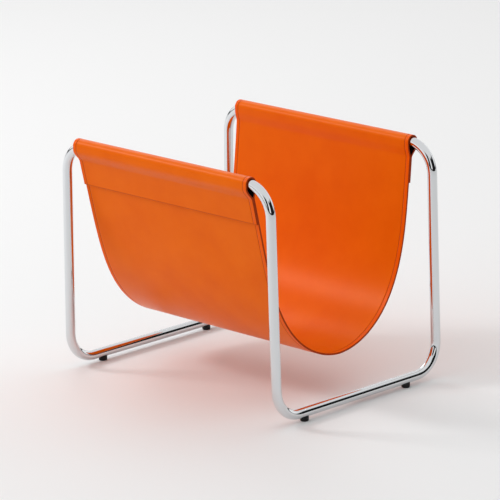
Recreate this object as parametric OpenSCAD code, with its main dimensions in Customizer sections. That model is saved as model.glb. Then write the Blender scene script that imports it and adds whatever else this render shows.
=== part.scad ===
// Magazine rack: a leather sling hung between two bent steel end frames.
// Millimetres. +Z is up, +X runs along the top rails, and the origin is on the
// floor under the middle of the rack.

/* [Frame] */
// Overall width, over the two bottom rails
rack_w = 460; // [380:1:560]
// Overall depth, over the uprights
rack_d = 357; // [290:1:430]
// Height of the top of the tube of the two top rails
rail_h = 367; // [300:1:445]
// Outside diameter of the frame tube
tube_d = 15; // [12:0.5:18]
// Wall of the frame tube
tube_wall = 1.5; // [1:0.1:2]
// Radius of every bend, at the middle of the tube
bend_r = 45; // [35:1:55]
// Outward lean of the uprights towards the floor, in degrees
splay = 1.1; // [0:0.1:3]

/* [Rail joints] */
// Length of the solid spigot that joins two rail halves
spigot_len = 90; // [60:1:110]
// Gap all round between the spigot and the tube's bore
spigot_fit = 0.05; // [0:0.01:0.1]
// Diameter of the grub screws
screw_d = 4; // [3:0.5:5]
// Length of the grub screws
screw_len = 6; // [4:0.5:7]
// Distance of each grub screw from the rail's joint
screw_step = 25; // [15:1:28]
// Width across the corners of the grub screw's hexagon socket
hex_key = 2.3; // [1.5:0.1:2.5]
// Depth of the hexagon socket
hex_depth = 2; // [1:0.5:3]

/* [Glides] */
// Diameter of the glides
glide_d = 13; // [10:0.5:16]
// Clear height of the tube above the floor
glide_h = 5.5; // [4:0.5:10]
// How far the glide's saddle reaches up the tube
saddle_h = 3; // [1:0.5:4]
// Radius of the glide's lower edge
glide_round = 1.5; // [0.5:0.5:2.5]
// Diameter of the glide's stem and of its hole in the tube
stem_d = 5; // [4:0.5:6]
// Distance of the left rail's front glide from the end of its bend
left_front_inset = 21; // [8:1:60]
// Distance of the left rail's rear glide from the end of its bend
left_rear_inset = 8; // [8:1:60]
// Distance of the right rail's front glide from the end of its bend
right_front_inset = 11; // [8:1:60]
// Distance of the right rail's rear glide from the end of its bend
right_rear_inset = 23; // [8:1:60]

/* [Sling] */
// Thickness of each of the two leather plies
ply_t = 1.4; // [1:0.1:2]
// How far the sleeves run past the straight rails on the left
sleeve_over_left = 19; // [0:1:20]
// How far the sleeves run past the straight rails on the right
sleeve_over_right = 6; // [0:1:20]
// Clear height of the leather's lowest point above the floor
sling_clear = 65; // [40:1:110]
// Half of the belly's width before the walls' flare is added
belly_half = 120.5; // [95:0.5:145]
// How far the belly hangs towards the rear
belly_shift = 8; // [0:0.5:15]
// Exponent of the belly's height in its outline
belly_power = 4.15; // [3:0.05:5]
// Exponent of the belly's half width in its outline
belly_root = 1.92; // [1.8:0.01:2.2]
// Gap all round between the rail and the leather over it
sleeve_fit = 0.2; // [0.1:0.1:0.6]
// How far the sleeve's sides run straight down from the rail's centre
sleeve_straight = 5; // [3:0.5:7]
// Depth below the rail's underside at which the flap meets the wall
seam_below = 16.5; // [15:0.5:25]
// Distance of the meeting line inside the rail's centre
seam_in = 4.6; // [2:0.1:6]
// Length of the flap below its meeting line with the wall
flap_len = 38; // [20:1:65]
// Glue line between the flap and the wall
glue_gap = 0.1; // [0.05:0.05:0.3]

/* [Edge stitching] */
// Distance of the stitch line from the leather's edge
stitch_inset = 7; // [3:0.5:10]
// Width of the thread as it lies on the leather
thread_w = 0.8; // [0.5:0.1:1.2]
// Height of the thread above the leather
thread_h = 0.4; // [0.2:0.1:0.6]

/* [Hidden] */
$fn = 64;
eps = 0.01;

// Frame: centrelines of the rails and of the uprights
tube_r = tube_d / 2;
bore_r = tube_r - tube_wall;
rail_z = rail_h - tube_r;
foot_rail_z = glide_h + tube_r;
rise = rail_z - foot_rail_z;
foot_x = rack_w / 2 - tube_r;
rail_x = foot_x - rise * tan(splay);
side_y = rack_d / 2 - tube_r;
top_turn = 90 - splay;
top_cut = bend_r * tan(top_turn / 2);
rail_straight = rail_x - top_cut;
upright_len = rise / cos(splay) - bend_r - top_cut;
foot_rail_len = 2 * (side_y - bend_r);

// Glides: places along Y
left_front_y = -(foot_rail_len / 2 - left_front_inset);
left_rear_y = foot_rail_len / 2 - left_rear_inset;
right_front_y = -(foot_rail_len / 2 - right_front_inset);
right_rear_y = foot_rail_len / 2 - right_rear_inset;

// Sling: the path runs midway between the two plies, in the YZ plane
sleeve_r = tube_r + sleeve_fit + ply_t;
sling_left = -(rail_straight + sleeve_over_left);
sling_right = rail_straight + sleeve_over_right;
belly_z = sling_clear + ply_t;
seam_z = rail_z - tube_r - seam_below;
wall_h = seam_z - belly_z;
wall_top_y = side_y - seam_in - ply_t;
wall_flare = (wall_top_y - belly_half) / wall_h;
shift_power = 4.5;
lap = 2 * ply_t + glue_gap;
wall_steps = 36;
flap_steps = 6;
curve_steps = 8;
arc_steps = 18;
handle_wall = 6;
handle_sleeve = 8;

// ---- Points -------------------------------------------------------------

function bezier(p, t) =
    pow(1 - t, 3) * p[0] + 3 * t * pow(1 - t, 2) * p[1]
    + 3 * t * t * (1 - t) * p[2] + pow(t, 3) * p[3];

function unit(v) = v / norm(v);

// The left-hand side of a direction: the show side, all along the path.
function left_of(v) = [-v[1], v[0]];

function reversed(list) = [for (i = [len(list) - 1:-1:0]) list[i]];

// A point of the wall: q is 0 at the belly's lowest point and 1 at the seam.
function wall_point(side, q) =
    let (
        round_y = belly_half * pow(1 - pow(1 - q * q, belly_power), 1 / belly_root),
        flare_y = wall_flare * wall_h * q * q,
        swing_y = belly_shift * (1 - pow(q, shift_power))
    )
    [side * (round_y + flare_y) + swing_y, belly_z + wall_h * q * q];

// The wall's direction at the seam, upwards.
function seam_dir(side) = unit(wall_point(side, 1) - wall_point(side, 0.98));

// Normal of the wall that points away from the pocket.
function wall_out(side, q) =
    let (d = unit(wall_point(side, q + 0.005) - wall_point(side, q - 0.005)))
    side * -left_of(d);

// How far up the wall the flap's lower edge lies.
flap_q = sqrt((seam_z - flap_len - belly_z) / wall_h);

// The flap, from its lower edge up to the seam, laid on the wall.
function flap_points(side) = [
    for (i = [0:flap_steps - 1])
        let (q = flap_q + (0.995 - flap_q) * i / flap_steps)
        wall_point(side, q) + lap * wall_out(side, q)
];

// From the seam up to the rail, outside (out = 1) or inside (out = -1).
function neck_points(side, out) =
    let (
        seam = wall_point(side, 1) + (out > 0 ? lap * wall_out(side, 0.995) : [0, 0]),
        top = [side * side_y + side * out * sleeve_r, rail_z - sleeve_straight],
        p = [
            seam,
            seam + handle_wall * seam_dir(side),
            top - [0, handle_sleeve],
            top
        ]
    )
    [for (i = [0:curve_steps]) bezier(p, i / curve_steps)];

// Over the rail, from the outside to the inside.
function arc_points(side) = [
    for (i = [0:arc_steps])
        let (a = 180 * i / arc_steps)
        [side * side_y + side * sleeve_r * cos(a), rail_z + sleeve_r * sin(a)]
];

// One half of the path, from the flap's lower edge down to near the belly.
function half_path(side) = concat(
    flap_points(side),
    neck_points(side, 1),
    arc_points(side),
    reversed(neck_points(side, -1)),
    [for (i = [wall_steps - 1:-1:1]) wall_point(side, i / wall_steps)]
);

sling_path = concat(half_path(-1), [wall_point(1, 0)], reversed(half_path(1)));

// The path moved sideways by d, towards the show side where d is positive.
function moved(path, d) = [
    for (i = [0:len(path) - 1])
        let (
            a = path[max(i - 1, 0)],
            b = path[min(i + 1, len(path) - 1)]
        )
        path[i] + d * left_of(unit(b - a))
];

// The closed outline of a layer of the sling between two depths.
function layer(path, d0, d1) = concat(moved(path, d0), reversed(moved(path, d1)));

// The first point of the path on the wall below the front flap's lower edge.
seam_index = flap_steps + (curve_steps + 1) + (arc_steps + 1) + curve_steps;
under_first = seam_index + ceil(wall_steps * (1 - flap_q));

// The stretch of a path that carries the underside's stitches, between the flaps.
function underside(path) = [for (i = [under_first:len(path) - 1 - under_first]) path[i]];

// ---- Frame --------------------------------------------------------------

// The right end frame's tube as a solid bar of radius r, both halves of it placed
// from the middle of the top bends.
module end_frame_bar(r) {
    translate([rail_straight, 0, rail_z - bend_r])
        for (side = [-1, 1])
            mirror([0, side > 0 ? 1 : 0, 0]) {
                translate([0, -side_y, bend_r])
                    rotate([0, -90, 0])
                        cylinder(r = r, h = rail_straight);
                translate([0, -side_y, 0])
                    top_bend(r);
                rotate([0, -splay, 0])
                    leaning_part(r);
            }
}

// A quarter turn, cut off square to the leaning upright where that starts.
module top_bend(r) {
    cut = 2 * (bend_r + r);
    difference() {
        rotate([90, 0, 0])
            rotate_extrude(angle = 90)
                translate([bend_r, 0])
                    circle(r = r);
        rotate([0, -splay, 0])
            translate([0, -cut / 2, -cut])
                cube(cut);
    }
}

// An upright, its bottom bend and half of the bottom rail.
module leaning_part(r) {
    translate([bend_r, -side_y, -upright_len]) {
        cylinder(r = r, h = upright_len);
        translate([0, bend_r, 0]) {
            rotate([90, 0, 90])
                rotate([0, 0, 180])
                    rotate_extrude(angle = 90)
                        translate([bend_r, 0])
                            circle(r = r);
            translate([0, 0, -bend_r])
                rotate([-90, 0, 0])
                    cylinder(r = r, h = foot_rail_len / 2);
        }
    }
}

// Holes in the underside of both rails for the grub screws.
module screw_holes() {
    for (side = [-1, 1])
        translate([screw_step, side * side_y, rail_z - tube_r - eps])
            cylinder(d = screw_d, h = tube_wall + 1);
}

// Holes in the underside of the bottom rail for the glides' stems.
module stem_holes(front_y, rear_y) {
    for (y = [front_y, rear_y])
        translate([foot_x, y, glide_h - eps])
            cylinder(d = stem_d, h = tube_wall + 1);
}

module end_frame(front_y, rear_y) {
    difference() {
        end_frame_bar(tube_r);
        end_frame_bar(bore_r);
        screw_holes();
        stem_holes(front_y, rear_y);
    }
}

module frame_right() {
    color("lightgray")
        end_frame(right_front_y, right_rear_y);
}

module frame_left() {
    color("gainsboro")
        mirror([1, 0, 0])
            end_frame(left_front_y, left_rear_y);
}

// ---- Rail joints --------------------------------------------------------

// A solid bar inside the two halves of a rail, drilled for the grub screws.
module spigot(side) {
    difference() {
        translate([-spigot_len / 2, side * side_y, rail_z])
            rotate([0, 90, 0])
                cylinder(r = bore_r - spigot_fit, h = spigot_len);
        for (x = [-screw_step, screw_step])
            translate([x, side * side_y, rail_z - tube_r])
                cylinder(d = screw_d, h = screw_len);
    }
}

module spigot_front() {
    color("darkgray")
        spigot(-1);
}

module spigot_rear() {
    color("darkgray")
        spigot(1);
}

// Four grub screws, their sockets facing down into the sleeves.
module spigot_screws() {
    color("dimgray")
        for (x = [-screw_step, screw_step], side = [-1, 1])
            translate([x, side * side_y, rail_z - tube_r])
                difference() {
                    cylinder(d = screw_d, h = screw_len);
                    translate([0, 0, -eps])
                        cylinder(d = hex_key, h = hex_depth, $fn = 6);
                }
}

// ---- Glides -------------------------------------------------------------

// The glide's outline from its axis outwards, with a rounded lower edge.
module glide_outline() {
    square([glide_d / 2 - glide_round, glide_h + saddle_h]);
    translate([0, glide_round])
        square([glide_d / 2, glide_h + saddle_h - glide_round]);
    translate([glide_d / 2 - glide_round, glide_round])
        circle(r = glide_round);
}

// A moulded glide: a button with a saddle for the tube and a stem in its hole.
module glide(x, y) {
    barb_h = 2.5;
    barb_over = 0.3;
    barb_r = stem_d / 2 + barb_over;
    barb_rise = bore_r - sqrt(bore_r * bore_r - barb_r * barb_r);
    barb_z = glide_h + tube_wall + barb_rise;
    translate([x, y, 0]) {
        difference() {
            rotate_extrude()
                glide_outline();
            translate([0, -glide_d, foot_rail_z])
                rotate([-90, 0, 0])
                    cylinder(r = tube_r, h = 2 * glide_d);
        }
        translate([0, 0, glide_h - eps])
            cylinder(d = stem_d, h = barb_z - glide_h + eps);
        translate([0, 0, barb_z])
            cylinder(r1 = barb_r, r2 = barb_r - 2 * barb_over, h = barb_h);
    }
}

module glide_front_left() {
    color("black")
        glide(-foot_x, left_front_y);
}

module glide_rear_left() {
    color("black")
        glide(-foot_x, left_rear_y);
}

module glide_front_right() {
    color("black")
        glide(foot_x, right_front_y);
}

module glide_rear_right() {
    color("black")
        glide(foot_x, right_rear_y);
}

// ---- Sling --------------------------------------------------------------

// A closed outline in the YZ plane, run along X from x0 to x1.
module along_x(x0, x1, outline) {
    translate([x0, 0, 0])
        rotate([90, 0, 90])
            linear_extrude(height = x1 - x0)
                polygon(outline);
}

// The ply against the tubes, which is also the sling's outer face.
module sling_outer_ply() {
    color("orangered")
        along_x(sling_left, sling_right, layer(sling_path, -ply_t, 0));
}

// The show ply: the pocket's lining, the sleeves' outside and the flaps.
module sling_lining_ply() {
    color("darkorange")
        along_x(sling_left, sling_right, layer(sling_path, 0, ply_t));
}

// The thread along one edge: a line on the show side and one underneath.
module edge_thread(x) {
    x0 = x - thread_w / 2;
    x1 = x + thread_w / 2;
    along_x(x0, x1, layer(sling_path, ply_t, ply_t + thread_h));
    along_x(x0, x1, concat(
        underside(moved(sling_path, -ply_t - thread_h)),
        reversed(underside(moved(sling_path, -ply_t)))
    ));
}

module edge_thread_left() {
    color("sienna")
        edge_thread(sling_left + stitch_inset);
}

module edge_thread_right() {
    color("sienna")
        edge_thread(sling_right - stitch_inset);
}

frame_left();
frame_right();
spigot_front();
spigot_rear();
spigot_screws();
glide_front_left();
glide_front_right();
glide_rear_left();
glide_rear_right();
sling_outer_ply();
sling_lining_ply();
edge_thread_left();
edge_thread_right();
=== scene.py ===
"""A magazine rack: an orange leather sling on a bent, chromed steel tube frame.

The frame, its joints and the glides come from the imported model. The two plies of
leather and their stitching are built here from the sling's own profile.
"""

import logging
import math
from dataclasses import dataclass, field
from enum import Enum
from typing import Any

import bpy
import numpy as np
from mathutils import Matrix, Vector


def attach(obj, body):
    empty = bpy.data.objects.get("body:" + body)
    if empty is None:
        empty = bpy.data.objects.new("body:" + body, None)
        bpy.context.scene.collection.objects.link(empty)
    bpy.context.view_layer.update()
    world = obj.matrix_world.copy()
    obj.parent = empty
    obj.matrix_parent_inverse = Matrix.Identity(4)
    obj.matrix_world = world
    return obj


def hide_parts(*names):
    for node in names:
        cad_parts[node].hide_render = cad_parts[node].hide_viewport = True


MM = 0.001
LOG = logging.getLogger("magazine_rack")

Colour = tuple[float, float, float, float]
Inputs = dict[str | int, Any]
Socket = bpy.types.NodeSocket
Span = tuple[float, float]
Stops = tuple[tuple[float, float], ...]

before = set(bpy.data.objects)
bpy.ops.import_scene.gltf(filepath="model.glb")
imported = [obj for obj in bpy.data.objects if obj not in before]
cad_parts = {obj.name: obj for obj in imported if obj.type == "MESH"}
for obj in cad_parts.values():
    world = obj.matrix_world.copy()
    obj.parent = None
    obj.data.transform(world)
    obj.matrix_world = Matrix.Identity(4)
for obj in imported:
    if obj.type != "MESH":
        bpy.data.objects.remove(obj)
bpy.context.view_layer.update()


class Side(Enum):
    """Which of the two top rails a piece of leather belongs to."""

    FRONT = -1
    REAR = 1


class Layer(Enum):
    """The two bonded plies, by the side of the bond that their face lies on."""

    OUTER = -1
    LINING = 1


class Look(Enum):
    """What a face of a ply is made of, by the material's place on the piece."""

    GRAIN = 0
    CUT_EDGE = 1
    ROUGH_SIDE = 2


class Slot(Enum):
    """The record's material slots."""

    CHROME = "chromed_tube"
    STEEL = "turned_steel"
    NYLON = "black_nylon"
    LEATHER = "saddle_leather"
    THREAD = "edge_thread"


# ---- Nodes ---------------------------------------------------------------------


def linear(hex_colour: str) -> Colour:
    """Turns an sRGB hex colour to linear light.

    Args:
        hex_colour: Six hex digits after a hash sign.

    Returns:
        Red, green, blue and an alpha of 1.
    """
    parts = [int(hex_colour[i : i + 2], 16) / 255 for i in (1, 3, 5)]
    return (*[c / 12.92 if c <= 0.04045 else ((c + 0.055) / 1.055) ** 2.4 for c in parts], 1.0)


def grey(value: float) -> Colour:
    """Makes a grey.

    Args:
        value: Its linear value.

    Returns:
        Red, green, blue and an alpha of 1.
    """
    return (value, value, value, 1.0)


def set_inputs(tree: bpy.types.NodeTree, node: bpy.types.Node, inputs: Inputs) -> None:
    """Links or sets a node's inputs.

    Args:
        tree: The node tree that the node is in.
        node: The node.
        inputs: Input names or numbers, each with a socket to link or a value to set.
    """
    for key, value in inputs.items():
        if isinstance(value, Socket):
            tree.links.new(value, node.inputs[key])
        else:
            node.inputs[key].default_value = value


def add_node(
    tree: bpy.types.NodeTree, kind: str, inputs: Inputs | None = None, **settings: Any
) -> bpy.types.Node:
    """Adds a node with its settings, and links or sets its inputs.

    Args:
        tree: The node tree that takes the node.
        kind: The node's type, such as ShaderNodeBump.
        inputs: Input names or numbers, each with a socket to link or a value to set.
        **settings: Properties of the node itself.

    Returns:
        The new node.
    """
    node = tree.nodes.new(kind)
    for name, value in settings.items():
        setattr(node, name, value)
    set_inputs(tree, node, inputs or {})
    return node


@dataclass(frozen=True)
class Patterns:
    """Adds the patterns that the finishes share to one node tree, by their real sizes."""

    tree: bpy.types.NodeTree

    def place(self) -> Socket:
        """Adds the piece's own coordinates.

        Returns:
            Metres along X, Y and Z.
        """
        return add_node(self.tree, "ShaderNodeTexCoord").outputs["Object"]

    def attribute(self, name: str) -> Socket:
        """Adds a measure that the mesh carries.

        Args:
            name: The mesh attribute.

        Returns:
            Its value.
        """
        return add_node(self.tree, "ShaderNodeAttribute", attribute_name=name).outputs["Fac"]

    def noise(self, place: Socket, size_mm: float, detail: float, fineness: float = 0.5) -> Socket:
        """Adds cloudy noise.

        Args:
            place: Coordinates in metres.
            size_mm: The size of its largest spots.
            detail: How many finer layers it has.
            fineness: How strong each finer layer is against the one before.

        Returns:
            Values from 0 to 1.
        """
        inputs = {"Vector": place, "Scale": 1 / (size_mm * MM), "Detail": detail, "Roughness": fineness}
        return add_node(self.tree, "ShaderNodeTexNoise", inputs).outputs["Fac"]

    def cells(self, place: Socket, size_mm: float) -> Socket:
        """Adds rounded cells, side by side.

        Args:
            place: Coordinates in metres.
            size_mm: The size of a cell.

        Returns:
            The distance from a cell's middle, in shares of its size.
        """
        inputs = {"Vector": place, "Scale": 1 / (size_mm * MM)}
        return add_node(self.tree, "ShaderNodeTexVoronoi", inputs).outputs["Distance"]

    def waves(self, place: Socket, period_mm: float, direction: str, bend: float = 0.0) -> Socket:
        """Adds smooth straight bands.

        Args:
            place: Coordinates in metres.
            period_mm: From one band to the next along an axis that crosses them.
            direction: X for bands across X, DIAGONAL for bands across all three axes.
            bend: How much noise bends them.

        Returns:
            Values from 0 to 1.
        """
        # The texture turns by 20 radians over a metre along X, and by 10 along the diagonal.
        radians = {"X": 20.0, "DIAGONAL": 10.0}[direction]
        scale = math.tau / (radians * period_mm * MM)
        inputs = {"Vector": place, "Scale": scale, "Distortion": bend}
        return add_node(self.tree, "ShaderNodeTexWave", inputs, bands_direction=direction).outputs["Fac"]

    def remap(self, value: Socket, to: Span, start: Span = (0.0, 1.0)) -> Socket:
        """Maps a value evenly from one span to another, and holds it there.

        Args:
            value: The value.
            to: What the ends of its span turn into.
            start: The ends of its span.

        Returns:
            The mapped value.
        """
        inputs = {"Value": value, "From Min": start[0], "From Max": start[1]}
        inputs |= {"To Min": to[0], "To Max": to[1]}
        return add_node(self.tree, "ShaderNodeMapRange", inputs).outputs["Result"]

    def maths(self, operation: str, *values: Socket | float) -> Socket:
        """Adds a sum, a product or another function of numbers.

        Args:
            operation: Its name, such as ADD.
            *values: The numbers.

        Returns:
            The result.
        """
        inputs = dict(enumerate(values))
        return add_node(self.tree, "ShaderNodeMath", inputs, operation=operation).outputs[0]

    def blend(self, share: Socket, first: Socket, second: Colour) -> Socket:
        """Mixes two colours.

        Args:
            share: 0 for the first colour and 1 for the second.
            first: The first colour.
            second: The second colour.

        Returns:
            The mixed colour.
        """
        # A Mix node keeps its colours at inputs 6 and 7 and at output 2.
        inputs = {0: share, 6: first, 7: second}
        return add_node(self.tree, "ShaderNodeMix", inputs, data_type="RGBA").outputs[2]

    def ramp(self, value: Socket, stops: list[tuple[float, Colour]]) -> Socket:
        """Colours a value.

        Args:
            value: The value from 0 to 1.
            stops: Positions from 0 to 1, each with a colour.

        Returns:
            The colour.
        """
        node = add_node(self.tree, "ShaderNodeValToRGB", {"Fac": value})
        while len(node.color_ramp.elements) < len(stops):
            node.color_ramp.elements.new(0.5)
        for element, (position, colour) in zip(node.color_ramp.elements, stops):
            element.position = position
            element.color = colour
        return node.outputs["Color"]

    def shades(self, value: Socket, stops: Stops) -> Socket:
        """Turns a value into greys.

        Args:
            value: The value from 0 to 1.
            stops: Positions from 0 to 1, each with a linear grey.

        Returns:
            The grey.
        """
        return self.ramp(value, [(position, grey(shade)) for position, shade in stops])

    def relief(self, height: Socket, strength: float, depth_mm: float) -> Socket:
        """Makes a surface look raised and sunk.

        Args:
            height: Values from 0 to 1.
            strength: How much of the relief shows.
            depth_mm: How deep it is.

        Returns:
            The normal.
        """
        inputs = {"Height": height, "Strength": strength, "Distance": depth_mm * MM}
        return add_node(self.tree, "ShaderNodeBump", inputs).outputs["Normal"]


# ---- Materials -----------------------------------------------------------------


@dataclass(frozen=True)
class Finish:
    """What every finish has: a name and a surface that its nodes describe."""

    name: str

    def surface(self, add: Patterns) -> Inputs:
        """Describes the surface. Each finish has its own.

        Args:
            add: Adds patterns to the material's node tree.

        Returns:
            Inputs of the material's shader, each with a socket or a value.
        """
        raise NotImplementedError

    def material(self) -> bpy.types.Material:
        """Makes the material.

        Returns:
            The material with its nodes.
        """
        made = bpy.data.materials.new(self.name)
        made.use_nodes = True
        tree = made.node_tree
        shader = tree.nodes["Principled BSDF"]
        set_inputs(tree, shader, self.surface(Patterns(tree)))
        made.diffuse_color = tuple(shader.inputs["Base Color"].default_value)
        return made


@dataclass(frozen=True)
class ChromePlate(Finish):
    """Bright chrome plate on polished steel tube: a neutral mirror with faint polishing marks."""

    colour: str = "#DCDEE0"
    haze: Span = (0.018, 0.045)
    polish_mm: float = 0.6
    cloud_mm: float = 25.0
    marks: Span = (0.1, 0.45)

    def surface(self, add: Patterns) -> Inputs:
        """Describes a mirror whose haze varies with the polishing.

        Args:
            add: Adds patterns to the material's node tree.

        Returns:
            Inputs of the material's shader.
        """
        place = add.place()
        polish = add.noise(place, self.polish_mm, 4.0)
        cloud = add.noise(place, self.cloud_mm, 2.0)
        haze = add.remap(add.maths("MULTIPLY", polish, cloud), self.haze, self.marks)
        return {"Base Color": linear(self.colour), "Metallic": 1.0, "Roughness": haze}


@dataclass(frozen=True)
class TurnedSteel(Finish):
    """Bright steel as turned on a lathe: grey, with rings round the bar that catch the light.

    The rings are drawn coarser than a lathe leaves them.
    """

    colour: str = "#9A9B9D"
    rough: Span = (0.28, 0.42)
    ring_mm: float = 2.5133
    ring_bend: float = 0.6
    relief: float = 0.2
    relief_mm: float = 0.02

    def surface(self, add: Patterns) -> Inputs:
        """Describes bare metal with rings along X, as relief and as gloss.

        Args:
            add: Adds patterns to the material's node tree.

        Returns:
            Inputs of the material's shader.
        """
        rings = add.waves(add.place(), self.ring_mm, "X", self.ring_bend)
        return {
            "Base Color": linear(self.colour),
            "Metallic": 1.0,
            "Roughness": add.remap(rings, self.rough),
            "Normal": add.relief(rings, self.relief, self.relief_mm),
        }


@dataclass(frozen=True)
class MouldedNylon(Finish):
    """Black injection-moulded nylon: a fine spark-eroded grain with a soft gloss."""

    colour: str = "#0D0D0E"
    rough: Span = (0.38, 0.6)
    grain_mm: float = 0.35
    relief: float = 0.35
    relief_mm: float = 0.04
    ior: float = 1.53
    shine: float = 0.3

    def surface(self, add: Patterns) -> Inputs:
        """Describes the moulded grain.

        Args:
            add: Adds patterns to the material's node tree.

        Returns:
            Inputs of the material's shader.
        """
        grain = add.noise(add.place(), self.grain_mm, 3.0)
        return {
            "Base Color": linear(self.colour),
            "IOR": self.ior,
            "Specular IOR Level": self.shine,
            "Roughness": add.remap(grain, self.rough),
            "Normal": add.relief(grain, self.relief, self.relief_mm),
        }


@dataclass(frozen=True)
class SaddleLeather(Finish):
    """Vegetable-tanned saddle leather, dyed through and waxed: smooth, with a pore grain,
    a slow mottle from the dye and a rim that is pressed harder and holds more colour.

    The pores are drawn coarser than the leather's own, which are about 0.3 mm.
    """

    rim_mm: float
    colour: str = "#EE6803"
    light: str = "#F16C05"
    deep: str = "#EB6402"
    pressed: str = "#F25C03"
    pressed_share: float = 0.7
    pressed_fade_mm: float = 0.5
    # Painted shade: the deeper orange that the stitch groove and the flaps' lower edges are tinted towards.
    painted_shade: str = "#BC4602"
    groove_shade_share: float = 0.75
    groove_shade_mm: float = 1.0
    # Painted shadow at the flaps' lower edges, under the step where each flap laps the wall: how dark, and
    # over what distance from the edge.
    edge_shadow_share: float = 0.6
    edge_shadow_mm: float = 2.0
    full_until: float = 0.4
    mottle_mm: float = 55.0
    pore_mm: float = 1.1
    wrinkle_mm: float = 4.4
    relief: float = 0.3
    relief_mm: float = 0.06
    rough: Span = (0.24, 0.4)
    ior: float = 1.46
    wax: float = 0.16
    wax_tint: str = "#FF9A4A"

    def dye_and_painted_shade(self, add: Patterns, place: Socket) -> Socket:
        """Colours the leather: mottle, pressed rim, and painted shade along the stitch groove and along the
        flaps' lower edges.

        Args:
            add: Adds patterns to the material's node tree.
            place: Coordinates in metres.

        Returns:
            The colour.
        """
        mottle = add.noise(place, self.mottle_mm, 5.0, 0.55)
        tones = [(0.3, linear(self.deep)), (0.5, linear(self.colour)), (0.72, linear(self.light))]
        rim = add.attribute("rim_mm")
        pressed = add.remap(rim, (self.pressed_share, 0.0), (self.rim_mm - self.pressed_fade_mm, self.rim_mm))
        rimmed = add.blend(pressed, add.ramp(mottle, tones), linear(self.pressed))
        # Painted shade in the pressed stitch groove: darkest on the stitch line, fading out to either side.
        off_line = add.maths("ABSOLUTE", add.maths("SUBTRACT", rim, self.rim_mm))
        groove_shade_fade = (self.groove_shade_mm * self.full_until, self.groove_shade_mm)
        line = add.remap(off_line, (self.groove_shade_share, 0.0), groove_shade_fade)
        # Painted shadow along each flap's lower edge, standing in for the shade under the lap's step: darkest
        # at the panel's ends, fading inwards.
        edge_shadow_fade = (self.edge_shadow_mm * self.full_until, self.edge_shadow_mm)
        edge_shadow = add.remap(add.attribute("end_mm"), (self.edge_shadow_share, 0.0), edge_shadow_fade)
        return add.blend(add.maths("MAXIMUM", line, edge_shadow), rimmed, linear(self.painted_shade))

    def surface(self, add: Patterns) -> Inputs:
        """Describes the dye with its painted shade, the pores and wrinkles, and the wax.

        Args:
            add: Adds patterns to the material's node tree.

        Returns:
            Inputs of the material's shader.
        """
        place = add.place()
        wrinkles = add.noise(place, self.wrinkle_mm, 6.0, 0.6)
        height = add.maths("ADD", add.cells(place, self.pore_mm), wrinkles)
        return {
            "Base Color": self.dye_and_painted_shade(add, place),
            "Roughness": add.remap(wrinkles, self.rough),
            "Normal": add.relief(height, self.relief, self.relief_mm),
            "IOR": self.ior,
            "Specular IOR Level": self.wax,
            "Specular Tint": linear(self.wax_tint),
        }


@dataclass(frozen=True)
class BurnishedEdge(Finish):
    """The leather's cut edge, sanded, stained dark brown and rubbed to a dull shine."""

    colour: str = "#A03204"
    light: str = "#B44206"
    fibre_mm: float = 0.8
    relief: float = 0.4
    relief_mm: float = 0.08
    rough: float = 0.5
    ior: float = 1.46
    wax: float = 0.1

    def surface(self, add: Patterns) -> Inputs:
        """Describes the stain over the cut fibres.

        Args:
            add: Adds patterns to the material's node tree.

        Returns:
            Inputs of the material's shader.
        """
        fibre = add.noise(add.place(), self.fibre_mm, 5.0)
        return {
            "Base Color": add.ramp(fibre, [(0.35, linear(self.colour)), (0.7, linear(self.light))]),
            "Normal": add.relief(fibre, self.relief, self.relief_mm),
            "Roughness": self.rough,
            "IOR": self.ior,
            "Specular IOR Level": self.wax,
        }


@dataclass(frozen=True)
class WaxedThread(Finish):
    """Twisted polyester thread, waxed: the leather's colour but deeper, with a twist.

    The twist is drawn coarser than the thread's own, which is about 1 mm.
    """

    colour: str = "#B84406"
    light: str = "#CE5208"
    twist_mm: float = 6.2832
    relief: float = 0.5
    relief_mm: float = 0.08
    rough: float = 0.45
    wax: float = 0.2

    def surface(self, add: Patterns) -> Inputs:
        """Describes the strands of the twist.

        Args:
            add: Adds patterns to the material's node tree.

        Returns:
            Inputs of the material's shader.
        """
        twist = add.waves(add.place(), self.twist_mm, "DIAGONAL")
        return {
            "Base Color": add.ramp(twist, [(0.2, linear(self.colour)), (0.8, linear(self.light))]),
            "Normal": add.relief(twist, self.relief, self.relief_mm),
            "Roughness": self.rough,
            "Specular IOR Level": self.wax,
        }


@dataclass(frozen=True)
class PaintedFloor(Finish):
    """A matt painted studio floor, nearly white, with a faint roller texture in its gloss."""

    colour: str = "#F0F0F0"
    rough: Span = (0.75, 0.9)
    grain_mm: float = 4.0

    def surface(self, add: Patterns) -> Inputs:
        """Describes the rolled paint.

        Args:
            add: Adds patterns to the material's node tree.

        Returns:
            Inputs of the material's shader.
        """
        grain = add.noise(add.place(), self.grain_mm, 2.0)
        return {"Base Color": linear(self.colour), "Roughness": add.remap(grain, self.rough)}


# ---- Meshes --------------------------------------------------------------------


def new_piece(
    name: str, points: np.ndarray, faces: list[tuple[int, ...]], materials: list[bpy.types.Material]
) -> bpy.types.Object:
    """Makes an object from points and faces.

    Args:
        name: The piece's name.
        points: One row of three metres for each point.
        faces: Point numbers of each face.
        materials: The piece's materials, in slot order.

    Returns:
        The object, linked into the scene and shaded smooth.
    """
    mesh = bpy.data.meshes.new(name)
    mesh.from_pydata(points.tolist(), [], faces)
    mesh.validate()
    mesh.polygons.foreach_set("use_smooth", [True] * len(mesh.polygons))
    for material in materials:
        mesh.materials.append(material)
    piece = bpy.data.objects.new(name, mesh)
    bpy.context.scene.collection.objects.link(piece)
    return piece


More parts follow.
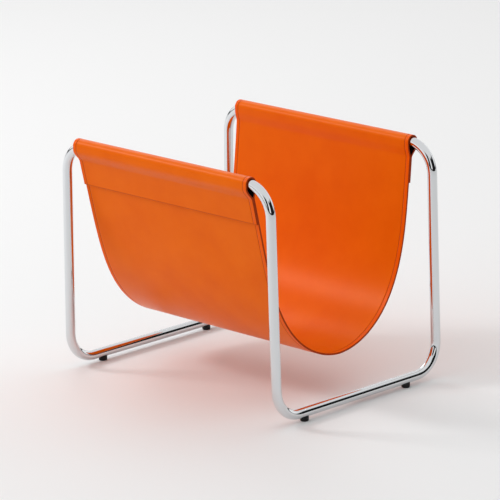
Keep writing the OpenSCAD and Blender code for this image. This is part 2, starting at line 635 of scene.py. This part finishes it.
@dataclass
class TubeFrame:
    """The two end frames' own sizes, which the leather follows, in millimetres."""

    rail_z: float = 359.5
    side_y: float = 171.0
    tube_r: float = 7.5

    def dress(self, chrome: bpy.types.Material, steel: bpy.types.Material) -> None:
        """Gives the tubes, spigots and screws their metal.

        Args:
            chrome: For the two end frames.
            steel: For the spigots and their screws.
        """
        for node in ("frame_left", "frame_right"):
            dress_node(node, chrome)
        for node in ("spigot_front", "spigot_rear", "spigot_screws"):
            dress_node(node, steel)


def dress_node(name: str, material: bpy.types.Material) -> None:
    """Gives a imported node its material.

    Args:
        name: The node's name.
        material: The metal or plastic it gets.
    """
    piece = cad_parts[name]
    piece.data.materials.clear()
    piece.data.materials.append(material)
    LOG.info("dressed %s with %s", name, material.name)


@dataclass
class SlingProfile:
    """The sling's outline in the YZ plane, in millimetres, midway between its plies."""

    tube: TubeFrame
    ply_t: float = 1.4
    glue_gap: float = 0.1
    sleeve_fit: float = 0.2
    sleeve_straight: float = 5.0
    seam_below: float = 16.5
    seam_in: float = 4.6
    flap_len: float = 38.0
    sling_clear: float = 65.0
    belly_half: float = 120.5
    belly_shift: float = 8.0
    belly_power: float = 4.15
    belly_root: float = 1.92
    shift_power: float = 4.5
    handle_wall: float = 6.0
    handle_sleeve: float = 8.0
    wall_steps: int = 110
    flap_steps: int = 16
    curve_steps: int = 16
    arc_steps: int = 36
    seam_q: float = 0.995
    rise_q: float = 0.98
    step_q: float = 0.004
    ripple: float = 0.5
    ripple_x: float = 61.0
    ripple_z: float = 47.0
    belly_z: float = field(init=False)
    seam_z: float = field(init=False)
    wall_h: float = field(init=False)
    lap: float = field(init=False)
    flap_q: float = field(init=False)
    wall_flare: float = field(init=False)
    sleeve_r: float = field(init=False)

    def __post_init__(self) -> None:
        """Works out the sizes that follow from the driving ones."""
        self.belly_z = self.sling_clear + self.ply_t
        self.seam_z = self.tube.rail_z - self.tube.tube_r - self.seam_below
        self.wall_h = self.seam_z - self.belly_z
        self.lap = 2 * self.ply_t + self.glue_gap
        self.flap_q = math.sqrt((self.seam_z - self.flap_len - self.belly_z) / self.wall_h)
        top_y = self.tube.side_y - self.seam_in - self.ply_t
        self.wall_flare = (top_y - self.belly_half) / self.wall_h
        self.sleeve_r = self.tube.tube_r + self.sleeve_fit + self.ply_t

    def wall(self, side: Side, q: float) -> np.ndarray:
        """A point of the wall.

        Args:
            side: The front or the rear wall.
            q: 0 at the belly's lowest point and 1 at the seam.

        Returns:
            Its Y and Z.
        """
        round_y = self.belly_half * (1 - (1 - q * q) ** self.belly_power) ** (1 / self.belly_root)
        flare_y = self.wall_flare * self.wall_h * q * q
        swing_y = self.belly_shift * (1 - q**self.shift_power)
        return np.array([side.value * (round_y + flare_y) + swing_y, self.belly_z + self.wall_h * q * q])

    def wall_out(self, side: Side, q: float) -> np.ndarray:
        """The wall's normal away from the pocket.

        Args:
            side: The front or the rear wall.
            q: As for wall().

        Returns:
            A unit Y and Z.
        """
        along = self.wall(side, min(q + self.step_q, 1.0)) - self.wall(side, q - self.step_q)
        along /= np.linalg.norm(along)
        return side.value * np.array([along[1], -along[0]])

    def neck(self, side: Side, outside: bool) -> list[np.ndarray]:
        """From the seam up to the rail.

        Args:
            side: The front or the rear rail.
            outside: The flap's side of the rail, or the wall's.

        Returns:
            Points from the seam upwards.
        """
        seam = self.wall(side, 1.0)
        rise = seam - self.wall(side, self.rise_q)
        rise /= np.linalg.norm(rise)
        if outside:
            seam = seam + self.lap * self.wall_out(side, self.seam_q)
        reach = self.sleeve_r if outside else -self.sleeve_r
        top = np.array([side.value * (self.tube.side_y + reach), self.tube.rail_z - self.sleeve_straight])
        handles = [
            seam,
            seam + self.handle_wall * rise,
            top - np.array([0.0, self.handle_sleeve]),
            top,
        ]
        points = []
        for i in range(self.curve_steps + 1):
            t = i / self.curve_steps
            weights = ((1 - t) ** 3, 3 * t * (1 - t) ** 2, 3 * t * t * (1 - t), t**3)
            points.append(sum(w * p for w, p in zip(weights, handles)))
        return points

    def half(self, side: Side) -> list[np.ndarray]:
        """One half of the path, from the flap's lower edge down to near the belly.

        Args:
            side: The front or the rear half.

        Returns:
            Its points in order.
        """
        flap = []
        for i in range(self.flap_steps):
            share = i / self.flap_steps
            q = self.flap_q + (self.seam_q - self.flap_q) * share
            flap.append(self.wall(side, q) + self.lap * self.wall_out(side, q))
        arc = []
        for i in range(self.arc_steps + 1):
            a = math.pi * i / self.arc_steps
            y = side.value * (self.tube.side_y + self.sleeve_r * math.cos(a))
            arc.append(np.array([y, self.tube.rail_z + self.sleeve_r * math.sin(a)]))
        down = [self.wall(side, i / self.wall_steps) for i in range(self.wall_steps - 1, 0, -1)]
        return flap + self.neck(side, True) + arc[1:] + self.neck(side, False)[::-1][1:] + down

    def sleeve_rows(self) -> int:
        """Counts the path's points on a flap, its neck and its turn over the rail.

        Returns:
            The count.
        """
        return self.flap_steps + 2 * self.curve_steps + self.arc_steps + 1

    def path(self) -> np.ndarray:
        """The whole path, from the front flap's edge to the rear flap's.

        Returns:
            One row of Y and Z for each point.
        """
        front, rear = self.half(Side.FRONT), self.half(Side.REAR)
        return np.array([*front, self.wall(Side.FRONT, 0.0), *rear[::-1]])

    def at(self, x: float) -> np.ndarray:
        """The path at a place along X, with the free walls' slight ripple.

        Args:
            x: Place along the rails.

        Returns:
            One row of Y and Z for each point.
        """
        path = self.path()
        height = np.clip((path[:, 1] - self.belly_z) / self.wall_h, 0, 1)
        free = np.sin(math.pi * height) ** 2
        path[:, 0] += self.ripple * free * np.sin(x / self.ripple_x + path[:, 1] / self.ripple_z)
        return path


def lengths_along(path: np.ndarray) -> np.ndarray:
    """Measures a path from its start to each of its points.

    Args:
        path: One row of coordinates for each point.

    Returns:
        The length up to each point.
    """
    return np.concatenate([[0], np.cumsum(np.linalg.norm(np.diff(path, axis=0), axis=1))])


@dataclass
class Sling:
    """The leather panel: two bonded plies, sewn into a sleeve over each top rail."""

    profile: SlingProfile
    left_x: float = -190.75
    right_x: float = 177.75
    corner_r: float = 0.45
    corner_steps: tuple[float, ...] = (0.0, 0.06, 0.16, 0.3)
    cut_share: float = 0.7
    cut_rows: int = 3
    sharp_degrees: float = 50.0
    stitch_inset: float = 7.0
    groove_depth: float = 0.3
    groove_half: float = 0.6
    rim_steps: tuple[float, ...] = (1.5, 3.5)
    past_line: Span = (2.0, 5.0)
    free_step: float = 9.0

    def near_edge(self) -> list[float]:
        """Places close together over the rounding of a cut edge.

        Returns:
            Distances from the edge in millimetres.
        """
        return [*self.corner_steps, self.corner_r]

    def columns(self) -> np.ndarray:
        """Places of the mesh's columns along X, close together at the rims.

        Returns:
            Millimetres from the left edge to the right one.
        """
        line, half = self.stitch_inset, self.groove_half
        beside, clear = self.past_line
        rim = [*self.near_edge(), *self.rim_steps, line - beside, line - half, line - half / 2, line]
        rim += [line + half / 2, line + half, line + beside, line + clear]
        width = self.right_x - self.left_x
        count = int((width - 2 * rim[-1]) / self.free_step)
        middle = np.linspace(rim[-1], width - rim[-1], count)[1:-1]
        return self.left_x + np.array([*rim, *middle, *[width - t for t in rim[::-1]]])

    def inset(self, x: float) -> float:
        """Measures how far a place is from the nearer side edge.

        Args:
            x: Place along the rails.

        Returns:
            The distance in millimetres.
        """
        return min(x - self.left_x, self.right_x - x)

    def rounding(self, distance: float) -> float:
        """How far a face falls back near a cut edge.

        Args:
            distance: From the edge, in millimetres.

        Returns:
            The fall in millimetres.
        """
        inside = max(self.corner_r - distance, 0.0)
        return self.corner_r - math.sqrt(self.corner_r**2 - inside**2)

    def groove(self, inset: float) -> float:
        """Depth of the pressed line that the stitches lie in.

        Args:
            inset: Distance from the side edge, in millimetres.

        Returns:
            Its depth in millimetres.
        """
        off = abs(inset - self.stitch_inset) / self.groove_half
        return self.groove_depth * max(0.0, 1 - off * off)

    def normals(self, path: np.ndarray) -> np.ndarray:
        """Unit normals of a path, towards the show side.

        Args:
            path: Rows of Y and Z.

        Returns:
            Rows of Y and Z.
        """
        along = np.empty_like(path)
        along[1:-1] = path[2:] - path[:-2]
        along[0] = path[1] - path[0]
        along[-1] = path[-1] - path[-2]
        along /= np.linalg.norm(along, axis=1)[:, None]
        return np.stack([-along[:, 1], along[:, 0]], 1)

    def with_ends(self, path: np.ndarray) -> np.ndarray:
        """Adds points close to both of the path's ends, for the rounded lower edges.

        Args:
            path: Rows of Y and Z.

        Returns:
            The longer path.
        """
        near = np.array(self.near_edge())[:, None]
        first, last = path[1] - path[0], path[-2] - path[-1]
        start = path[0] + near * first / np.linalg.norm(first)
        end = path[-1] + near[::-1] * last / np.linalg.norm(last)
        return np.vstack([start, path[1:-1], end])

    def length(self) -> float:
        """Measures the path from one flap's edge to the other's.

        Returns:
            The length in millimetres.
        """
        return float(np.linalg.norm(np.diff(self.profile.at(0.0), axis=0), axis=1).sum())

    def column(self, x: float, layer: Layer) -> tuple[np.ndarray, np.ndarray, np.ndarray]:
        """One column of a ply's points, from the front flap's edge to the rear flap's.

        Args:
            x: Place of the column along the rails.
            layer: Which of the two plies.

        Returns:
            Rows of X, Y and Z on the ply's face, the same on the bond, and each point's
            distance from the nearer of the panel's ends.
        """
        path = self.with_ends(self.profile.at(x))
        run = lengths_along(path)
        to_end = np.minimum(run, run[-1] - run)
        inset = self.inset(x)
        fall = np.array([max(self.rounding(inset), self.rounding(d)) for d in to_end])
        fall += self.groove(inset)
        depth = layer.value * (self.profile.ply_t - fall)
        face = path + self.normals(path) * depth[:, None]
        across = np.full(len(path), x)
        return np.column_stack([across, face]), np.column_stack([across, path]), to_end

    def look(self, at_side: bool, row: int, layer: Layer) -> Look:
        """What a face on the outside of a ply is made of.

        Args:
            at_side: It lies on the rounding of a side edge.
            row: How many rows it is from the nearer of the panel's ends.
            layer: Which of the two plies.

        Returns:
            The grain, the cut edge, or the rough side inside a sleeve.
        """
        if at_side or row < self.cut_rows:
            return Look.CUT_EDGE
        if layer is Layer.OUTER and row < self.profile.sleeve_rows():
            return Look.ROUGH_SIDE
        return Look.GRAIN

    def skin(self, xs: np.ndarray, rows: int, layer: Layer) -> tuple[list[tuple[int, ...]], list[int]]:
        """Faces all over a ply, turned as the lining's have to be.

        Args:
            xs: Places of the columns.
            rows: How many points each column has.
            layer: Which of the two plies.

        Returns:
            Point numbers of each face, and each face's material.
        """
        bond = len(xs) * rows
        faces: list[tuple[int, ...]] = []
        looks: list[int] = []
        for j in range(len(xs) - 1):
            at_side = max(self.inset(xs[j]), self.inset(xs[j + 1])) < self.corner_r * self.cut_share
            for i in range(rows - 1):
                a = j * rows + i
                quad = (a, a + rows, a + rows + 1, a + 1)
                faces += [quad, tuple(k + bond for k in quad[::-1])]
                look = self.look(at_side, min(i, rows - 2 - i), layer)
                looks += [look.value, Look.GRAIN.value]
        border = list(range(rows))
        border += [j * rows + rows - 1 for j in range(1, len(xs))]
        border += [(len(xs) - 1) * rows + i for i in range(rows - 2, -1, -1)]
        border += [j * rows for j in range(len(xs) - 2, -1, -1)]
        faces += [(a, b, b + bond, a + bond) for a, b in zip(border[:-1], border[1:])]
        looks += [Look.CUT_EDGE.value] * (len(border) - 1)
        return faces, looks

    def ply(self, name: str, layer: Layer, materials: list[bpy.types.Material]) -> bpy.types.Object:
        """Builds one ply as a closed mesh with rounded corners and a pressed stitch line.

        Args:
            name: The piece's name.
            layer: Which of the two plies.
            materials: The leather, its cut edge, and its rough side inside the sleeves, painted near-black as
                shade.

        Returns:
            The piece.
        """
        xs = self.columns()
        shown, bonded, ends = zip(*[self.column(x, layer) for x in xs])
        rows = len(shown[0])
        faces, looks = self.skin(xs, rows, layer)
        if layer is Layer.OUTER:
            # Its face looks the other way from the bond.
            faces = [face[::-1] for face in faces]
        piece = new_piece(name, np.vstack(shown + bonded) * MM, faces, materials)
        piece.data.polygons.foreach_set("material_index", looks)
        insets = tuple(np.full(rows, self.inset(x)) for x in xs)
        for measure, values in (("rim_mm", insets), ("end_mm", ends)):
            attribute = piece.data.attributes.new(measure, "FLOAT", "POINT")
            attribute.data.foreach_set("value", np.concatenate(values + values).astype(np.float32))
        piece.data.set_sharp_from_angle(angle=math.radians(self.sharp_degrees))
        return piece

    def build(self, materials: list[bpy.types.Material]) -> list[bpy.types.Object]:
        """Builds both plies.

        Args:
            materials: The leather, its cut edge, and its rough side inside the sleeves, painted near-black as
                shade.

        Returns:
            The outer ply and the lining.
        """
        made = []
        for layer, name, node in (
            (Layer.OUTER, "leather_outer_ply", "sling_outer_ply"),
            (Layer.LINING, "leather_lining_ply", "sling_lining_ply"),
        ):
            piece = self.ply(name, layer, materials)
            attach(piece, "root")
            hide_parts(node)
            made.append(piece)
            LOG.info("built %s with %d faces", name, len(piece.data.polygons))
        return made


@dataclass
class EdgeStitches:
    """One edge's row of single stitches, on the show side and underneath."""

    sling: Sling
    pitch: float = 3.5
    stitch: float = 2.7
    half_width: float = 0.4
    half_height: float = 0.3
    rise: float = 0.12
    end_sink: float = 0.25
    look_ahead: float = 0.3
    sides: int = 8
    # Each ring's place along the stitch, from -1 to 1, and its share of the full thickness.
    rings: Stops = ((-1.0, 0.35), (-0.86, 0.75), (-0.55, 1.0), (0.55, 1.0), (0.86, 0.75), (1.0, 0.35))

    def row(self, x: float, show: bool) -> tuple[np.ndarray, np.ndarray, np.ndarray]:
        """Places, directions and normals of the stitches of one row.

        Args:
            x: Place of the row along X.
            show: The show side, or the underside between the flaps.

        Returns:
            Three arrays of Y and Z.
        """
        profile = self.sling.profile
        path = profile.at(x)
        side = 1 if show else -1
        line = path + self.sling.normals(path) * side * (profile.ply_t - self.sling.groove_depth)
        if not show:
            first = profile.sleeve_rows() + math.ceil(profile.wall_steps * (1 - profile.flap_q)) + 1
            line = line[first:-first]
        run = lengths_along(line)
        places = np.arange(self.pitch, run[-1] - self.pitch / 2, self.pitch)
        at = np.stack([np.interp(places, run, line[:, k]) for k in (0, 1)], 1)
        ahead = np.stack([np.interp(places + self.look_ahead, run, line[:, k]) for k in (0, 1)], 1)
        along = ahead - at
        along /= np.linalg.norm(along, axis=1)[:, None]
        out = side * np.stack([-along[:, 1], along[:, 0]], 1)
        return at, along, out

    def points(
        self, x: float, at: np.ndarray, along: np.ndarray, out: np.ndarray, hand: int
    ) -> list[tuple[float, float, float]]:
        """Rings of points round one stitch, thick in its middle and dipping at its ends.

        Args:
            x: Place of the row along X.
            at: The stitch's middle, as Y and Z.
            along: Its direction.
            out: The leather's normal there.
            hand: 1 or -1, which way round the rings run.

        Returns:
            The points, ring by ring.
        """
        made = []
        for place, share in self.rings:
            rise = self.rise - self.end_sink * place * place
            centre = at + along * place * self.stitch / 2 + out * rise
            for k in range(self.sides):
                turn = math.tau * k / self.sides
                wide = hand * self.half_width * share * math.cos(turn)
                high = self.half_height * share * math.sin(turn)
                y, z = centre + out * high
                made.append((x + wide, y, z))
        return made

    def skin(self, base: int) -> list[tuple[int, ...]]:
        """Faces of one stitch, closed at both ends.

        Args:
            base: The number of the stitch's first point.

        Returns:
            Point numbers of each face.
        """
        faces: list[tuple[int, ...]] = []
        last = base + (len(self.rings) - 1) * self.sides
        for ring in range(base, last, self.sides):
            for k in range(self.sides):
                a, b = ring + k, ring + (k + 1) % self.sides
                faces.append((a, b, b + self.sides, a + self.sides))
        faces.append(tuple(range(base, base + self.sides))[::-1])
        faces.append(tuple(range(last, last + self.sides)))
        return faces

    def build(self, name: str, x: float, thread: bpy.types.Material, node: str) -> bpy.types.Object:
        """Builds both rows of an edge as one piece.

        Args:
            name: The piece's name.
            x: Place of the rows along X, in millimetres.
            thread: The thread's material.
            node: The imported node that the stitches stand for.

        Returns:
            The piece.
        """
        points: list[tuple[float, float, float]] = []
        faces: list[tuple[int, ...]] = []
        for show in (True, False):
            hand = -1 if show else 1
            for at, along, out in zip(*self.row(x, show)):
                faces += self.skin(len(points))
                points += self.points(x, at, along, out, hand)
        piece = new_piece(name, np.array(points) * MM, faces, [thread])
        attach(piece, "root")
        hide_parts(node)
        LOG.info("built %s with %d faces", name, len(faces))
        return piece


# ---- Studio --------------------------------------------------------------------


@dataclass(frozen=True)
class Softbox:
    """A square lamp: where it hangs and its side in metres, and its power in watts."""

    name: str
    place: tuple[float, float, float]
    side: float
    watts: float

    def hang(self, aim: Vector) -> None:
        """Hangs the lamp.

        Args:
            aim: What it points at.
        """
        data = bpy.data.lights.new(self.name, "AREA")
        data.size = self.side
        data.energy = self.watts
        lamp = bpy.data.objects.new(self.name, data)
        lamp.location = Vector(self.place)
        lamp.rotation_euler = (Vector(self.place) - aim).to_track_quat("Z", "Y").to_euler()
        bpy.context.scene.collection.objects.link(lamp)


@dataclass
class Studio:
    """The floor, the soft light and the camera. Places are in metres and turns in degrees."""

    azimuth: float = 45.4
    elevation: float = 15.27
    roll: float = -1.14
    distance: float = 5.439
    lens_mm: float = 258.4
    sensor_mm: float = 36.0
    sees_to: float = 200.0
    aim_z: float = 0.1386
    across: float = -0.0014
    above: float = 0.0541
    floor_size: float = 60.0
    lit_z: float = 0.15
    lamps: tuple[Softbox, ...] = (
        Softbox("key", (-2.65, -1.75, 2.5), 0.8, 40.0),
        Softbox("softbox", (-2.7, 1.2, 2.6), 1.6, 14.0),
    )
    room_light: float = 0.97
    # Heights from 0 at the horizon to 1 overhead, each with the wall's brightness.
    room: Stops = ((0.0, 1.15), (0.3, 1.05), (0.5, 0.9), (1.0, 0.9))
    # Directions from the X axis, each with 0 for a pale wall or 1 for a dark opening.
    openings: Stops = (
        (-82, 0),
        (-78, 1),
        (-52, 1),
        (-48, 0),
        (-28, 0),
        (-24, 1),
        (52, 1),
        (60, 0),
    )
    # Heights as for the room, each with how much of an opening, or of the skirting, is left.
    lintel: Stops = ((0.0, 1.0), (0.55, 1.0), (0.66, 0.0))
    skirting: Stops = ((0.0, 0.95), (0.06, 0.95), (0.09, 0.0))
    shadow: float = 0.015

    def camera(self) -> None:
        """Sets the camera."""
        a = math.radians(self.azimuth)
        e = math.radians(self.elevation)
        r = math.radians(self.roll)
        back = Vector((math.sin(a) * math.cos(e), -math.cos(a) * math.cos(e), math.sin(e)))
        level = Vector((0, 0, 1)).cross(back).normalized()
        steep = back.cross(level)
        right = level * math.cos(r) + steep * math.sin(r)
        up = steep * math.cos(r) - level * math.sin(r)
        data = bpy.data.cameras.new("camera")
        data.lens = self.lens_mm
        data.sensor_width = self.sensor_mm
        data.clip_end = self.sees_to
        camera = bpy.data.objects.new("camera", data)
        bpy.context.scene.collection.objects.link(camera)
        turn = Matrix((right, up, back)).transposed().to_4x4()
        place = back * self.distance + Vector((0, 0, self.aim_z)) + right * self.across + up * self.above
        camera.matrix_world = Matrix.Translation(place) @ turn
        bpy.context.scene.camera = camera

    def floor(self, paint: bpy.types.Material) -> None:
        """Lays the floor.

        Args:
            paint: Its material.
        """
        half = self.floor_size / 2
        corners = np.array([(-half, -half, 0), (half, -half, 0), (half, half, 0), (-half, half, 0)])
        new_piece("floor", corners, [(0, 1, 2, 3)], [paint])

    def world(self) -> None:
        """Sets a pale room, brighter low down, with two dark openings and a dark skirting.

        The openings lie towards the front and the right, up to a lintel. The skirting
        is a dark line round the horizon. The chrome's streaks come from all three.
        """
        world = bpy.data.worlds.new("studio")
        world.use_nodes = True
        tree = world.node_tree
        add = Patterns(tree)
        place = add_node(tree, "ShaderNodeTexCoord").outputs["Generated"]
        split = add_node(tree, "ShaderNodeSeparateXYZ", {"Vector": place}).outputs
        room = add.shades(split["Z"], self.room)
        turn = add.maths("ARCTAN2", split["Y"], split["X"])
        around = add.remap(turn, (0.0, 1.0), (-math.pi, math.pi))
        stops = tuple((degrees / 360 + 0.5, share) for degrees, share in self.openings)
        opening = add.maths("MULTIPLY", add.shades(around, stops), add.shades(split["Z"], self.lintel))
        dark = add.maths("MAXIMUM", opening, add.shades(split["Z"], self.skirting))
        seen = add.blend(dark, room, grey(self.shadow))
        set_inputs(tree, tree.nodes["Background"], {"Color": seen, "Strength": self.room_light})
        bpy.context.scene.world = world

    def build(self, paint: bpy.types.Material) -> None:
        """Sets the whole studio up.

        Args:
            paint: The floor's material.
        """
        self.camera()
        self.floor(paint)
        self.world()
        for lamp in self.lamps:
            lamp.hang(Vector((0, 0, self.lit_z)))
        bpy.context.scene.view_settings.view_transform = "Standard"
        LOG.info("set the studio")


def main() -> None:
    """Builds the rack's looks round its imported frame."""
    tube = TubeFrame()
    sling = Sling(SlingProfile(tube))
    leather = SaddleLeather("leather_saddle_dyed_waxed", rim_mm=sling.stitch_inset).material()
    edge = BurnishedEdge("leather_edge_burnished").material()
    # Painted shade: the rough side inside the sleeves is coloured near-black for the shade seen in the
    # sleeves' mouths.
    sleeve_inside_shade = BurnishedEdge("leather_rough_side_painted_shade", colour="#140603", light="#220B05").material()
    thread = WaxedThread("polyester_thread_waxed").material()
    nylon = MouldedNylon("nylon_moulded_black").material()

    Studio().build(PaintedFloor("floor_paint_matt").material())
    tube.dress(ChromePlate("steel_chrome_plated").material(), TurnedSteel("steel_turned").material())
    for end in ("left", "right"):
        for place in ("front", "rear"):
            dress_node(f"glide_{place}_{end}", nylon)

    outer, lining = sling.build([leather, edge, sleeve_inside_shade])
    stitches = EdgeStitches(sling)
    rows = [
        stitches.build("stitches_left", sling.left_x + sling.stitch_inset, thread, "edge_thread_left"),
        stitches.build("stitches_right", sling.right_x - sling.stitch_inset, thread, "edge_thread_right"),
    ]
    flat = ((sling.right_x - sling.left_x) * MM, sling.length() * MM)
    LOG.info("the panel's flat size is %.4f x %.4f m", *flat)


if __name__ == "__main__":
    logging.basicConfig(level=logging.INFO)
    main()
